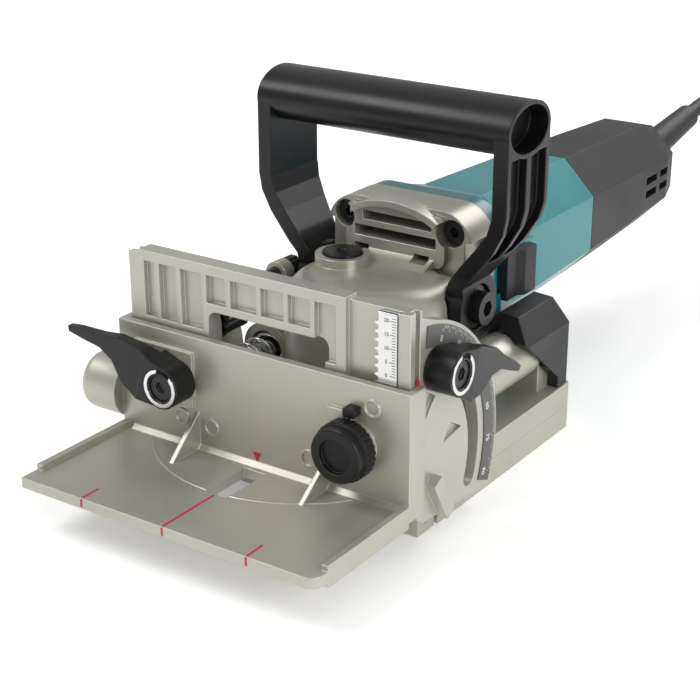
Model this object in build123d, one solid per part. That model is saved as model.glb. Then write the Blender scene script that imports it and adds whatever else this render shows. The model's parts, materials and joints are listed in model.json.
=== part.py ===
from build123d import *
import math
import os

# Biscuit joiner (plate joiner), millimetres.
# Origin: on the sole, straight below the spindle at rest. +Z up, -Y is the
# plunge direction, X = 0 is the middle plane.

# ---- driving dimensions -------------------------------------------------
PLUNGE = 23.0  # travel of the motor unit on the base
BLADE_R = 50.0
BASE_X = 56.0  # half width of the base
FACE_Y = -52.0  # front face of the base
REAR_Y = 74.0
BASE_H = 20.0
SEAM_Z = 10.0
PIVOT_Y, PIVOT_Z = -64.6, 30.2  # axis of the angle guide
ARC_R = 40.5  # radius of the angle slot
SECTOR_R = 57.3
ARM_IN, ARM_OUT = 57.0, 62.0  # side arms of the angle guide
GUIDE_Y0, GUIDE_Y1 = -68.2, -61.2
GUIDE_TOP = 93.6
FENCE_Y0, FENCE_Y1 = -72.5, -69.3
FENCE_TOP = 66.0
TABLE_Y = -128.0
TABLE_Z0, TABLE_Z1 = 18.0, 22.0
FENCE_X0, FENCE_X1 = -65.0, 65.0
MOTOR_Z = 64.5
FAN_END = 38.0  # rear face of the gear housing
ROD_X, ROD_Z = 42.0, 38.5
STUD_PHI = 72.0
STUD_Y = PIVOT_Y + ARC_R * math.cos(math.radians(STUD_PHI))
STUD_Z = PIVOT_Z + ARC_R * math.sin(math.radians(STUD_PHI))
KNOB_X, KNOB_Z = 42.5, 42.3
CLAMP_X, CLAMP_Z = -35.5, 48.4
FOOT_Y, FOOT_Z = 18.6, 64.0  # where the handle is bolted on
CORD_D = 8.0

os.makedirs("parts", exist_ok=True)
LOW = (Align.CENTER, Align.CENTER, Align.MIN)


# ---- small builders -----------------------------------------------------
def box(x0, x1, y0, y1, z0, z1):
    middle = Pos((x0 + x1) / 2, (y0 + y1) / 2, (z0 + z1) / 2)
    return middle * Box(x1 - x0, y1 - y0, z1 - z0)


def rod_x(x0, x1, y, z, r):
    return Pos(x0, y, z) * Rot(0, 90, 0) * Cylinder(r, x1 - x0, align=LOW)


def rod_y(y0, y1, x, z, r):
    return Pos(x, y0, z) * Rot(-90, 0, 0) * Cylinder(r, y1 - y0, align=LOW)


def rod_z(z0, z1, x, y, r):
    return Pos(x, y, z0) * Cylinder(r, z1 - z0, align=LOW)


def cone_y(y0, y1, x, z, r0, r1):
    return Pos(x, y0, z) * Rot(-90, 0, 0) * Cone(r0, r1, y1 - y0, align=LOW)


def prism_x(points, x0, x1):
    face = Plane.YZ.offset(x0) * Polygon(*points, align=None)
    return extrude(face, amount=x1 - x0, dir=(1, 0, 0))


def prism_y(points, y0, y1):
    face = Plane.XZ.offset(-y0) * Polygon(*points, align=None)
    return extrude(face, amount=y1 - y0, dir=(0, 1, 0))


def prism_z(points, z0, z1):
    face = Plane.XY.offset(z0) * Polygon(*points, align=None)
    return extrude(face, amount=z1 - z0, dir=(0, 0, 1))


def stadium_z(x, y0, y1, r, z0, z1):
    ends = rod_z(z0, z1, x, y0, r) + rod_z(z0, z1, x, y1, r)
    return ends + box(x - r, x + r, y0, y1, z0, z1)


def hex_socket_x(x0, x1, y, z, flats):
    sketch = Plane.YZ.offset(x0) * Pos(y, z) * RegularPolygon(flats / math.sqrt(3), 6)
    return extrude(sketch, amount=x1 - x0, dir=(1, 0, 0))


def hex_socket_y(y0, y1, x, z, flats):
    sketch = Plane.XZ.offset(-y0) * Pos(x, z) * RegularPolygon(flats / math.sqrt(3), 6)
    return extrude(sketch, amount=y1 - y0, dir=(0, 1, 0))


def polar(phi, r):
    a = math.radians(phi)
    return (PIVOT_Y + r * math.cos(a), PIVOT_Z + r * math.sin(a))


def arc_band(phi0, phi1, r0, r1, x0, x1):
    """A band about the tilt axis between two angles and two radii."""
    steps = 24
    outer = [polar(phi0 + (phi1 - phi0) * k / steps, 2 * r1) for k in range(steps + 1)]
    wedge = prism_x([(PIVOT_Y, PIVOT_Z)] + outer, x0, x1)
    ring = rod_x(x0, x1, PIVOT_Y, PIVOT_Z, r1)
    if r0 > 0:
        ring -= rod_x(x0, x1, PIVOT_Y, PIVOT_Z, r0)
    return ring & wedge


def arc_slot(phi0, phi1, half, x0, x1):
    slot = arc_band(phi0, phi1, ARC_R - half, ARC_R + half, x0, x1)
    for phi in (phi0, phi1):
        slot += rod_x(x0, x1, *polar(phi, ARC_R), half)
    return slot


def save(name, *solids):
    shape = solids[0] if len(solids) == 1 else Compound(children=list(solids))
    found = len(shape.solids())
    if found != len(solids):
        print("check", name, "has", found, "solids, wanted", len(solids))
    export_step(shape, f"parts/{name}.step")


# ---- base ---------------------------------------------------------------
def base_frame():
    body = box(-BASE_X, BASE_X, FACE_Y, REAR_Y, SEAM_Z + 0.1, BASE_H)
    for side in (-1, 1):
        corner = [(side * 62, 59), (side * 41, 80), (side * 62, 80)]
        body -= prism_z(corner, 0, 40)
    # blade cavity, slot in the front face, opening for the spindle neck
    body -= stadium_z(0, -PLUNGE, 0, BLADE_R + 2.5, 0, 14.5)
    body -= box(-43, 43, FACE_Y - 1, 0, 0, 14.5)
    body -= stadium_z(0, -PLUNGE, 0, 18.6, 0, 40)
    body -= box(-18.6, 18.6, -23, 0, 0, 40)
    # chip way from the cavity to the duct
    body -= box(38, 46.5, 30, 62, 5, 15)
    body -= box(38, 46.5, 52, 62, 5, 40)
    for side in (-1, 1):
        x0, x1 = sorted((side * 50.4, side * BASE_X))
        # ears that carry the cover hinge pins
        body += box(x0, x1, FACE_Y, -41, 0.5, SEAM_Z + 0.1)
        # posts for the tilt axis and for the clamp bolts
        p0, p1 = sorted((side * 50.0, side * BASE_X))
        body += box(p0, p1, FACE_Y + 6.4, -40, BASE_H, 34.6)
        body += box(p0, p1, -59.9, -45.6, 34.6, STUD_Z)
        body += box(p0, p1, PIVOT_Y, -45.6, 25.8, 34.6)
        body += rod_x(p0, p1, PIVOT_Y, PIVOT_Z, 4.4)
        body += rod_x(p0, p1, STUD_Y, STUD_Z, 6.5)
        body += prism_x([(-45.6, BASE_H), (-30, BASE_H), (-45.6, 44)], p0, p1)
        # lugs that hold the guide rods
        l0, l1 = sorted((side * 34.0, side * 50.0))
        body += box(l0, l1, FACE_Y, -45, BASE_H, ROD_Z)
        body += rod_y(FACE_Y, -45, side * ROD_X, ROD_Z, 8)
    # duct block (right) and plain rear lug (left), each with a rod seat
    body += box(34.5, 50, 48.5, 66, BASE_H, 36)
    body += rod_y(48.5, 55, ROD_X, ROD_Z, 7) + box(35, 49, 48.5, 55, 30, ROD_Z)
    body -= box(37.5, 47, 55.8, 63, 5, 60)
    body -= box(38, 46.5, 52, 62, 5, 14.6)
    body += rod_y(48.5, 58, -ROD_X, ROD_Z, 8) + box(-50, -34, 48.5, 58, BASE_H, ROD_Z)
    # lug of the depth turret
    body += box(-56, -36, -52, -47, 48, 61) + rod_y(-52, -47, -44, 61, 8)
    # bar below the blade slot, joined to the ears
    body += box(-42.8, 42.8, FACE_Y, -45, 0.4, 6) + box(-50.5, 50.5, FACE_Y, -50.9, 0.4, 6)
    for side in (-1, 1):
        x0, x1 = sorted((side * 42.8, side * 50.5))
        body += box(x0, x1, FACE_Y, -50.9, 0.4, SEAM_Z + 0.2)
    # bores
    for side in (-1, 1):
        body -= rod_y(FACE_Y + 1, -44, side * ROD_X, ROD_Z, 4)
        body -= rod_y(48, 54, side * ROD_X, ROD_Z, 4)
        x0, x1 = sorted((side * 49, side * 57))
        body -= rod_x(x0, x1, PIVOT_Y, PIVOT_Z, 2.2)
        body -= rod_x(x0, x1, STUD_Y, STUD_Z, 2.98)
        body -= rod_x(x0, x1, -47, 5.5, 1.5)
        body -= rod_y(FACE_Y - 1, FACE_Y + 6, side * 48.5, 15.2, 2.6)
    body -= rod_y(-53, -46, -44, 61, 2.5)
    body -= rod_z(5, 18, 0, 68, 3.3)
    return body - rod_z(BASE_H - 5, BASE_H + 1, *NOZZLE_SCREW, 1.6)


def blade_cover():
    body = box(-BASE_X, BASE_X, -38, REAR_Y, 0, SEAM_Z - 0.1)
    for side in (-1, 1):
        body -= prism_z([(side * 62, 59), (side * 41, 80), (side * 62, 80)], -1, 40)
    body += box(-50, 50, -41.5, -38, 0, 6)
    body -= stadium_z(0, -PLUNGE, 0, BLADE_R + 2.5, 6, 20)
    body -= stadium_z(0, -PLUNGE, 0, 19, 2.4, 20)
    body -= box(38, 46.5, 30, 63, 6, 20)
    for side in (-1, 1):
        x0, x1 = sorted((side * 44.6, side * 50))
        body += rod_x(x0, x1, -47, 5.5, 3.4) + box(x0, x1, -46, -43.4, 2.4, 7.8)
        body += box(x0, x1, -43.4, -38, 1, 7.8)
        body -= rod_x(x0 - 1, x1 + 1, -47, 5.5, 1.58)
    body -= rod_z(-1, 12, 0, 68, 3.1)
    body -= rod_z(-1, 4.2, 0, 68, 8.6)
    return body


def cover_screw():
    head = rod_z(0.3, 4.0, 0, 68, 8.2)
    for k in range(10):
        a = math.radians(36 * k)
        head -= rod_z(0, 5, 8.9 * math.cos(a), 68 + 8.9 * math.sin(a), 1.5)
    head -= box(-6, 6, 67.2, 68.8, 0, 1.6)
    return head + rod_z(4.0, 16.5, 0, 68, 2.5)


def guide_rod(side):
    return rod_y(FACE_Y + 1, 54, side * ROD_X, ROD_Z, 3.98)


def coil_spring(x, z, y0, y1, r, wire, turns):
    path = Helix(pitch=(y1 - y0 - wire) / turns, height=y1 - y0 - wire, radius=r)
    start = path @ 0
    section = Plane(start, z_dir=path % 0) * Circle(wire / 2)
    spring = sweep(section, path)
    return Pos(x, y0 + wire / 2, z) * Rot(-90, 0, 0) * spring


NOZZLE_SCREW = (36.5, 70.8)


def dust_nozzle():
    outline = [(35, 36.4), (55, 36.4), (55, 47), (47, 56), (38.5, 56.6), (35, 53)]
    body = prism_y(outline, 33.6, 64.5)
    body += prism_y([(40.6, 36.4), (55, 36.4), (55, 47), (47, 56), (40.6, 56.4)], 29, 34)
    # skirt down the right side of the duct block
    body += prism_x([(29, 47), (57, 25), (57, 20.3), (64.5, 20.3), (64.5, 47)], 51.0, 55)
    body += box(50.3, 55, 57, 64.5, 20.3, 40)
    # the front leans back towards the top
    body -= prism_x([(28, 48), (28, 60), (36, 60), (36, 57), (30.4, 49.5), (29, 48)], 30, 60)
    # inside: over the duct block, then out at the rear
    body -= box(34.2, 50.2, 48.3, 66.2, 30, 36.4)
    inner = [(37.5, 36), (47.5, 36), (52.6, 46), (46, 53.6), (39, 53.6), (37.5, 52)]
    body -= prism_y(inner, 56.2, 70)
    # arch over the sleeve of the gear housing and over the rod seat
    body -= rod_y(20, 48.4, ROD_X, ROD_Z, 12.0)
    body -= box(30, 54, 20, 48.4, 30, ROD_Z)
    body -= rod_y(48.0, 55.4, ROD_X, ROD_Z, 7.4)
    body -= prism_x([(27, 20), (56.9, 20), (56.9, 25), (28.8, 47.6), (27, 47.6)], 30, 58)
    # screw tab on the base behind the duct block
    body += box(35.2, 40, 64.4, 68, 36.5, 40) + box(33, 40, 66.3, 68, 20.3, 40)
    body += box(33, 40, 66.3, 73.6, 20.3, 24)
    return body - rod_z(20, 26, *NOZZLE_SCREW, 2.1)


def nozzle_screw():
    return rod_z(24.1, 26.1, *NOZZLE_SCREW, 2.4) + rod_z(16, 24.1, *NOZZLE_SCREW, 1.58)


def pivot_pin(side):
    x0, x1 = sorted((side * 50.2, side * 59.5))
    return rod_x(x0, x1, PIVOT_Y, PIVOT_Z, 2.18)


def cover_pin(side):
    x0, x1 = sorted((side * 43.8, side * 55.8))
    return rod_x(x0, x1, -47, 5.5, 1.48)


def grip_tip(side):
    return rod_y(FACE_Y - 0.1, FACE_Y + 5.5, side * 48.5, 15.2, 2.58)


def guide_bolt():
    head = rod_x(-64.6, -62.4, STUD_Y, STUD_Z, 6.4)
    head -= hex_socket_x(-65.2, -63.4, STUD_Y, STUD_Z, 5)
    return head + rod_x(-62.4, -50.2, STUD_Y, STUD_Z, 2.96)


def clamp_stud():
    stud = rod_x(50.2, 71.5, STUD_Y, STUD_Z, 2.96) + rod_x(70.7, 72.5, STUD_Y, STUD_Z, 4.8)
    return stud - hex_socket_x(71.3, 73, STUD_Y, STUD_Z, 4.6)


# ---- depth turret -------------------------------------------------------
TURRET_X, TURRET_Z = -44.0, 61.0
TURRET_Y = -42.9  # face that carries the steps
STEPS = [0.0, 14.5, 12.5, 10.5, 6.5, 0.6]


def stop_turret():
    body = rod_y(-45.3, TURRET_Y, TURRET_X, TURRET_Z, 8.6)
    body += rod_y(TURRET_Y, -40.4, TURRET_X, TURRET_Z, 3.6)
    for k, height in enumerate(STEPS):
        if height > 0:
            a = math.radians(90 - 60 * k)
            x, z = TURRET_X + 6.1 * math.cos(a), TURRET_Z + 6.1 * math.sin(a)
            body += rod_y(TURRET_Y, TURRET_Y + height, x, z, 2.3)
    for k in range(6):
        a = math.radians(60 + 60 * k)
        x, z = TURRET_X + 9.6 * math.cos(a), TURRET_Z + 9.6 * math.sin(a)
        body -= rod_y(-46, -42, x, z, 1.9)
    return body - rod_y(-48, -39, TURRET_X, TURRET_Z, 2.08)


def turret_screw():
    shank = rod_y(-51.5, -40.2, TURRET_X, TURRET_Z, 2.0)
    thread = rod_y(-51.5, -47.2, TURRET_X, TURRET_Z, 2.48)
    return shank + thread + rod_y(-40.2, -38.6, TURRET_X, TURRET_Z, 3.4)


# ---- motor unit: gear housing ------------------------------------------
STOP_Z = TURRET_Z + 6.1  # axis of the stop screw
VENTS = [(-15, 17, 90.6, 94.2), (-19, 19, 83.6, 88.0), (-19, -12, 77.6, 80.4), (9, 16, 77.6, 80.4)]


def rounded_square(y0, y1, half, corner):
    face = Plane.XZ.offset(-y0) * Pos(0, MOTOR_Z + 1) * RectangleRounded(2 * half, 2 * half, corner)
    return extrude(face, amount=y1 - y0, dir=(0, 1, 0))


def gear_housing():
    # slide plate, gear dome and fan case
    body = box(-31, 31, -28, FAN_END, BASE_H + 0.4, 28)
    dome = rod_z(26, 76, 0, 0, 33) + box(-33, 33, 0, 22, 26, 76)
    body += fillet(dome.edges().filter_by(lambda e: e.center().Z > 75.9), 11)
    body += rounded_square(20.5, FAN_END, 33.4, 14)
    body += box(-21, 21, 18.4, 21, 76, 100.3) & rod_y(17, 22, 0, MOTOR_Z - 6, 41.5)
    # ramp up to the fan case, raised plate round the vents, arched visor over them
    body += prism_x([(6, 74), (20.6, 80.4), (20.6, 74)], -18, 18)
    plate = Plane.XZ.offset(-17.6) * Pos(0, 86.5) * RectangleRounded(46, 21, 4)
    body += extrude(plate, amount=3, dir=(0, 1, 0))
    arch = rod_y(14.6, 23, 0, MOTOR_Z - 6, 42.3) - rod_y(14, 24, 0, MOTOR_Z - 6, 39.6)
    body += arch & box(-19, 23, 14, 24, 80, 102)
    # sleeves on the guide rods, bosses of the handle
    for side in (-1, 1):
        body += rod_y(-12, 44, side * ROD_X, ROD_Z, 11)
        x0, x1 = sorted((side * 28, side * 40))
        body += box(x0, x1, -10, 26, ROD_Z - 9, ROD_Z + 8)
        # pocket for the foot and the lower leg of the handle
        x0, x1 = sorted((side * 30.4, side * 60))
        pocket = rod_x(x0, x1, FOOT_Y, FOOT_Z, 14.2) + box(x0, x1, 4, 33.6, FOOT_Z, 88)
        body -= pocket - rod_y(-20, 50, side * ROD_X, ROD_Z, 11)
    # button boss, arm of the stop screw, spindle neck
    body += rod_z(60, 79.6, -16, 5, 11)
    body += box(-49.5, -38.5, -2, 4, ROD_Z, 64) + rod_y(-2, 4, TURRET_X, STOP_Z, 5)
    body += rod_z(15.6, BASE_H + 1, 0, 0, 17)
    # gear room, pinion way, fan room, bearing seats
    body -= rod_z(40, 71, 0, 0, 24.4)
    body -= rod_y(0, 24, 0, MOTOR_Z, 9) + rod_y(23.8, 40, 0, MOTOR_Z, 13)
    body -= rod_y(30.4, FAN_END + 1, 0, MOTOR_Z, 27.6)
    body -= rod_z(14, 41, 0, 0, 8.2)
    body -= rod_z(24, 34, 0, 0, 13)
    body -= rod_z(14, 17.4, 0, 0, 15)
    # vents in the front of the fan room
    for x0, x1, z0, z1 in VENTS:
        body -= box(x0, x1, 10, 32, z0, z1)
    # flange screws, handle bolts, guide rods, springs, stop screw, lock button
    for x, z in flange_screw_places():
        body -= rod_y(10, 26.6 if z > MOTOR_Z else 20, x, z, 5.6)
        body -= rod_y(10, 51, x, z, 2.1)
    for side in (-1, 1):
        x0, x1 = sorted((side * 28.4, side * 35))
        body -= rod_x(x0, x1, FOOT_Y, FOOT_Z, 3.98)
        body -= rod_y(-13, 45, side * ROD_X, ROD_Z, 4.1)
        body -= rod_y(-13, 20, side * ROD_X, ROD_Z, 7.6)
    body -= rod_y(-3, 5, TURRET_X, STOP_Z, 3)
    body -= rod_z(70, 81, -16, 5, 4.1)
    return body - rod_z(73.4, 81, -16, 5, 8.1)


def flange_screw_places():
    return [(sx * 24.6, MOTOR_Z + 1 + sz * 25.0) for sx in (-1, 1) for sz in (-1, 1)]


def flange_screw(x, z):
    start = 22.6 if z > MOTOR_Z else 16.0
    seat = 26.6 if z > MOTOR_Z else 20.0
    head = rod_y(start, seat, x, z, 4.6)
    head -= hex_socket_y(start - 1, start + 2.4, x, z, 4)
    return head + rod_y(seat, 44.5, x, z, 2.0)


def bearing_cover():
    return rod_z(13.9, 17.3, 0, 0, 14.9) - rod_z(13, 18, 0, 0, 9.0)


def bearing_z(x, y, z0, z1, r0, r1):
    race = rod_z(z0, z1, x, y, r1) - rod_z(z0 - 1, z1 + 1, x, y, r0)
    middle = (r0 + r1) / 2
    for z in (z0, z1):
        groove = rod_z(z - 0.7, z + 0.7, x, y, middle + 1) - rod_z(z - 1, z + 1, x, y, middle - 1)
        race -= groove
    return race


def bearing_y(y0, y1, r0, r1):
    race = rod_y(y0, y1, 0, MOTOR_Z, r1) - rod_y(y0 - 1, y1 + 1, 0, MOTOR_Z, r0)
    middle = (r0 + r1) / 2
    for y in (y0, y1):
        groove = rod_y(y - 0.7, y + 0.7, 0, MOTOR_Z, middle + 1)
        groove -= rod_y(y - 1, y + 1, 0, MOTOR_Z, middle - 1)
        race -= groove
    return race


def shaft_lock():
    button = rod_z(76.8, 80.6, -16, 5, 7.8) - rod_z(80.0, 81, -16, 5, 2)
    return button + rod_z(71.6, 77, -16, 5, 3.8)


# ---- motor unit: housings ----------------------------------------------
def shell_section(y, half, cut):
    """Eight-sided section of the grip: a square of the given half width with its corners cut."""
    flat = half - cut
    corners = [(half, -flat), (half, flat), (flat, half), (-flat, half)]
    corners += [(-x, -z) for x, z in corners]
    return Plane.XZ.offset(-y) * Pos(0, MOTOR_Z) * Polygon(*corners, align=None)


def shell(*sections):
    body = Part()
    for a, b in zip(sections[:-1], sections[1:]):
        body += loft([shell_section(*a), shell_section(*b)])
    return body


def motor_housing():
    front, neck, rear = FAN_END + 0.3, 62.0, 138.0
    outer = rounded_square(front, 46, 33.2, 14)
    outer += shell((46, 33.0, 13.5), (neck, 29.6, 15.5), (rear, 27.6, 15))
    # seat of the slide switch on the right
    outer += box(24, 33.2, 44, 72, 58.0, 77.4)
    body = outer - rod_y(front - 1, 127, 0, MOTOR_Z, 26.0) - rod_y(front - 1, 50, 0, MOTOR_Z, 27.6)
    # seat of the rear bearing, commutator room, shaft way
    body -= rod_y(126, 136.5, 0, MOTOR_Z, 9.5)
    body -= rod_y(130, 139, 0, MOTOR_Z, 6.0)
    for x, z in flange_screw_places():
        body -= rod_y(front - 1, 45, x, z, 2.02)
    for side in (-1, 1):
        body -= rod_y(front - 1, 45, side * ROD_X, ROD_Z, 11.5)
    body -= box(31.4, 34, 40.3, 69.6, 60.3, 75.4)
    return body - box(25, 32, 50, 62, 64.5, 71.5)


def rear_housing():
    front = 138.3
    body = shell((front, 27.6, 15), (180, 26.4, 15), (226, 24.6, 14.4), (241, 20.5, 12), (247, 16, 9.5))
    body -= shell((front - 1, 24.6, 14), (180, 23.4, 14), (234, 19.6, 11.5))
    body -= rod_y(230, 250, 0, MOTOR_Z + 2, 7.0)
    for side in (-1, 1):
        x0, x1 = sorted((side * 17, side * 30))
        for y, length in ((200, 13), (217, 10)):
            for z in (-4.6, 2.0):
                body -= box(x0, x1, y, y + length, MOTOR_Z + z, MOTOR_Z + z + 3.6)
        # long shallow grooves on the lower slanted faces
        for x, z in ((23.4, -14.6), (18.4, -19.6)):
            body -= rod_y(164, 216, side * x, MOTOR_Z + z, 1.6)
    return body


def stator():
    core = rod_y(62, 104, 0, MOTOR_Z, 25.9) - rod_y(61, 105, 0, MOTOR_Z, 18.6)
    coils = rod_y(57, 109, 0, MOTOR_Z, 24.0) - rod_y(56, 110, 0, MOTOR_Z, 19.6)
    return core + coils


def brush_holder(side):
    x0, x1 = sorted((side * 12.0, side * 25.4))
    x2, x3 = sorted((side * 11.4, side * 12.4))
    return rod_x(x0, x1, 116, MOTOR_Z, 4.95) + box(x2, x3, 114, 118, MOTOR_Z - 2.5, MOTOR_Z + 2.5)


def cord_guard():
    body = rod_y(233.6, 247.4, 0, MOTOR_Z + 2, 6.95) + rod_y(230.6, 233.6, 0, MOTOR_Z + 2, 9.5)
    return body + rod_y(247.4, 250.4, 0, MOTOR_Z + 2, 8.4)


# ---- handle -------------------------------------------------------------
HANDLE_OUT = [(56.5, 136), (56.5, 106), (55.2, 99), (51, 91), (44, 82), (38.6, 75), (38.6, 64)]
HANDLE_IN = [(50.4, 136), (50.4, 105), (48.6, 98.6), (44, 92), (37.6, 84), (32.6, 77), (30.6, 72), (30.6, 64)]
GROOVE_FRONT = [(7.2, 127), (19.2, 127), (19.2, 104), (16.4, 86), (8, 86), (7.2, 100)]
GROOVE_REAR = [(22.4, 127), (34.2, 127), (34.2, 104), (32.6, 99), (27.4, 86), (19.6, 86), (22.4, 104)]
GRIP_Y, GRIP_Z = 20.6, 136.4


def handle_leg(side):
    points = HANDLE_OUT + list(reversed(HANDLE_IN))
    leg = prism_y([(side * x, z) for x, z in points], 4.8, 36.5)
    # the lower part is narrower and runs into the round foot
    trim = [(36.6, 60), (60, 60), (60, 108), (36.6, 104), (35, 98), (30, 86), (27, 76)]
    x0, x1 = sorted((side * 20, side * 60))
    leg -= prism_x(trim + [(27, 60)], x0, x1)
    leg -= prism_x([(4.0, 60), (6.6, 60), (6.6, 70), (4.0, 84)], x0, x1)
    # grooves that leave three ribs down the outer face
    sunk = [(53.0, 127), (53.0, 106), (51.8, 100), (48.0, 93), (42.4, 86), (60, 86), (60, 127)]
    band = prism_y([(side * x, z) for x, z in sunk], 5, 36)
    for groove in (GROOVE_FRONT, GROOVE_REAR):
        leg -= band & prism_x(groove, x0, x1)
    f0, f1 = sorted((side * 30.6, side * 38.6))
    return leg + rod_x(f0, f1, FOOT_Y, FOOT_Z, 13.8)


def handle():
    tube = Plane.YZ.offset(-56.5) * Pos(GRIP_Y, GRIP_Z) * Ellipse(16, 10.6)
    body = extrude(tube, amount=113, dir=(1, 0, 0))
    for side in (-1, 1):
        body += handle_leg(side)
        x0 = 48.5 if side > 0 else -57.5
        hollow = Plane.YZ.offset(x0) * Pos(GRIP_Y, GRIP_Z) * Ellipse(14.4, 9.0)
        body -= extrude(hollow, amount=9, dir=(1, 0, 0))
        h0, h1 = sorted((side * 30, side * 40))
        body -= rod_x(h0, h1, FOOT_Y, FOOT_Z, 4.05)
        c0, c1 = sorted((side * 35.6, side * 40))
        body -= rod_x(c0, c1, FOOT_Y, FOOT_Z, 9.2)
    return body


def handle_washer(side):
    x0, x1 = sorted((side * 34.0 + side * 1.65, side * 37.2))
    return rod_x(x0, x1, FOOT_Y, FOOT_Z, 8.6) - rod_x(x0 - 1, x1 + 1, FOOT_Y, FOOT_Z, 4.05)


def handle_bolt(side):
    x0, x1 = sorted((side * 37.25, side * 42.5))
    head = rod_x(x0, x1, FOOT_Y, FOOT_Z, 6.5)
    s0, s1 = sorted((side * 39.0, side * 43.0))
    head -= hex_socket_x(s0, s1, FOOT_Y, FOOT_Z, 6)
    x0, x1 = sorted((side * 29.6, side * 37.3))
    return head + rod_x(x0, x1, FOOT_Y, FOOT_Z, 3.95)


def stop_screw():
    rod = rod_y(-14.7, 8, TURRET_X, STOP_Z, 2.95) + rod_y(-18.7, -14.7, TURRET_X, STOP_Z, 2.2)
    knob = rod_y(4.4, 10.4, TURRET_X, STOP_Z, 4.8)
    for k in range(12):
        a = math.radians(30 * k)
        knob -= rod_y(4, 11, TURRET_X + 5.2 * math.cos(a), STOP_Z + 5.2 * math.sin(a), 0.7)
    return rod + knob


def slide_switch():
    body = box(31.7, 33.8, 45.2, 69.2, 60.6, 75.1)
    body += box(33.7, 36.2, 45.2, 66.0, 57.6, 76.8)
    body += prism_z([(36.1, 54), (38.4, 56), (38.4, 65), (36.1, 66)], 57.6, 76.8)
    return body + box(26.6, 31.8, 55, 60, 65.0, 71.0)


# ---- rotating pieces ----------------------------------------------------
GEAR_TEETH, PINION_TEETH = 37, 11


def spindle():
    body = rod_z(4.4, 62, 0, 0, 5.0) + rod_z(15.2, 22, 0, 0, 7.8) + rod_z(22, 36, 0, 0, 6.0)
    return body - rod_z(3, 6.5, 0, 0, 2.0)


def bevel_gear():
    """Cone gear on the spindle; its teeth rise to the apex on the motor axis."""
    profile = [(5.05, 46), (20, 51.0), (23.2, 54.6), (23.2, 57.2), (14.2, 59.9), (9.5, 58.0), (5.05, 58.0)]
    body = revolve(Plane.XZ * Polygon(*profile, align=None), Axis.Z)
    body += rod_z(41, 47, 0, 0, 9.5) - rod_z(40, 48, 0, 0, 5.05)
    gap = Pos(18.6, 0, 59.1) * Rot(0, 16.6, 0) * Box(14, 0.9, 2.4)
    for k in range(GEAR_TEETH):
        body -= Rot(0, 0, 360 / GEAR_TEETH * k) * gap
    return body


def inner_flange():
    body = rod_z(11.4, 13.2, 0, 0, 15.5) + rod_z(13.2, 15.1, 0, 0, 8.6)
    return body - rod_z(10, 16, 0, 0, 5.05)


def blade():
    body = rod_z(8.8, 11.2, 0, 0, 46.0) - rod_z(8, 12, 0, 0, 5.08)
    outline = [(44.5, -3.4), (49.85, -2.6), (49.85, 0.6), (47.2, 3.4), (44.5, 6.5)]
    tooth = prism_z(outline, 8.1, 11.9)
    gullet = rod_z(7, 13, 44.2, -6.2, 3.2)
    for k in range(6):
        body += Rot(0, 0, 60 * k) * tooth
        body -= Rot(0, 0, 60 * k) * gullet
    return body


def lock_nut():
    body = rod_z(4.6, 8.7, 0, 0, 15.5) - rod_z(4, 9, 0, 0, 5.05)
    for k in range(4):
        a = math.radians(45 + 90 * k)
        body -= rod_z(4, 7.5, 11 * math.cos(a), 11 * math.sin(a), 2.2)
    return body


def armature_shaft():
    return rod_y(22.6, 136, 0, MOTOR_Z, 4.0) + rod_y(44, 60, 0, MOTOR_Z, 5.0)


def pinion():
    body = cone_y(14.0, 22.6, 0, MOTOR_Z, 4.1, 6.6)
    for k in range(PINION_TEETH):
        cut = Pos(0, 18.3, 0) * Pos(6.0, 0, 0) * Rot(0, 0, -16.2) * Box(1.4, 12, 0.9)
        body -= Pos(0, 0, MOTOR_Z) * Rot(0, 360 / PINION_TEETH * k, 0) * cut
    return body


def armature_core():
    body = rod_y(62.5, 103.5, 0, MOTOR_Z, 18.1)
    body += rod_y(60.2, 106, 0, MOTOR_Z, 15.0)
    for k in range(12):
        a = math.radians(30 * k)
        x, z = 17.6 * math.cos(a), MOTOR_Z + 17.6 * math.sin(a)
        body -= rod_y(60, 107, x, z, 1.3)
    return body - rod_y(59, 107, 0, MOTOR_Z, 4.05)


def commutator():
    body = rod_y(108.5, 124, 0, MOTOR_Z, 11.0) + rod_y(106.6, 108.5, 0, MOTOR_Z, 12.0)
    cut = box(10.4, 12.5, 109, 125, -0.35, 0.35)
    for k in range(24):
        body -= Pos(0, 0, MOTOR_Z) * Rot(0, 15 * k, 0) * cut
    return body - rod_y(105, 125, 0, MOTOR_Z, 4.05)


def fan():
    body = rod_y(33.6, 36.0, 0, MOTOR_Z, 26.0) + rod_y(36, 43.5, 0, MOTOR_Z, 8.5)
    vane = box(8.0, 25.5, 36, 43.0, -0.7, 0.7)
    for k in range(14):
        body += Pos(0, 0, MOTOR_Z) * Rot(0, 360 / 14 * k, 0) * vane
    return body - rod_y(32, 45, 0, MOTOR_Z, 4.05)


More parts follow.
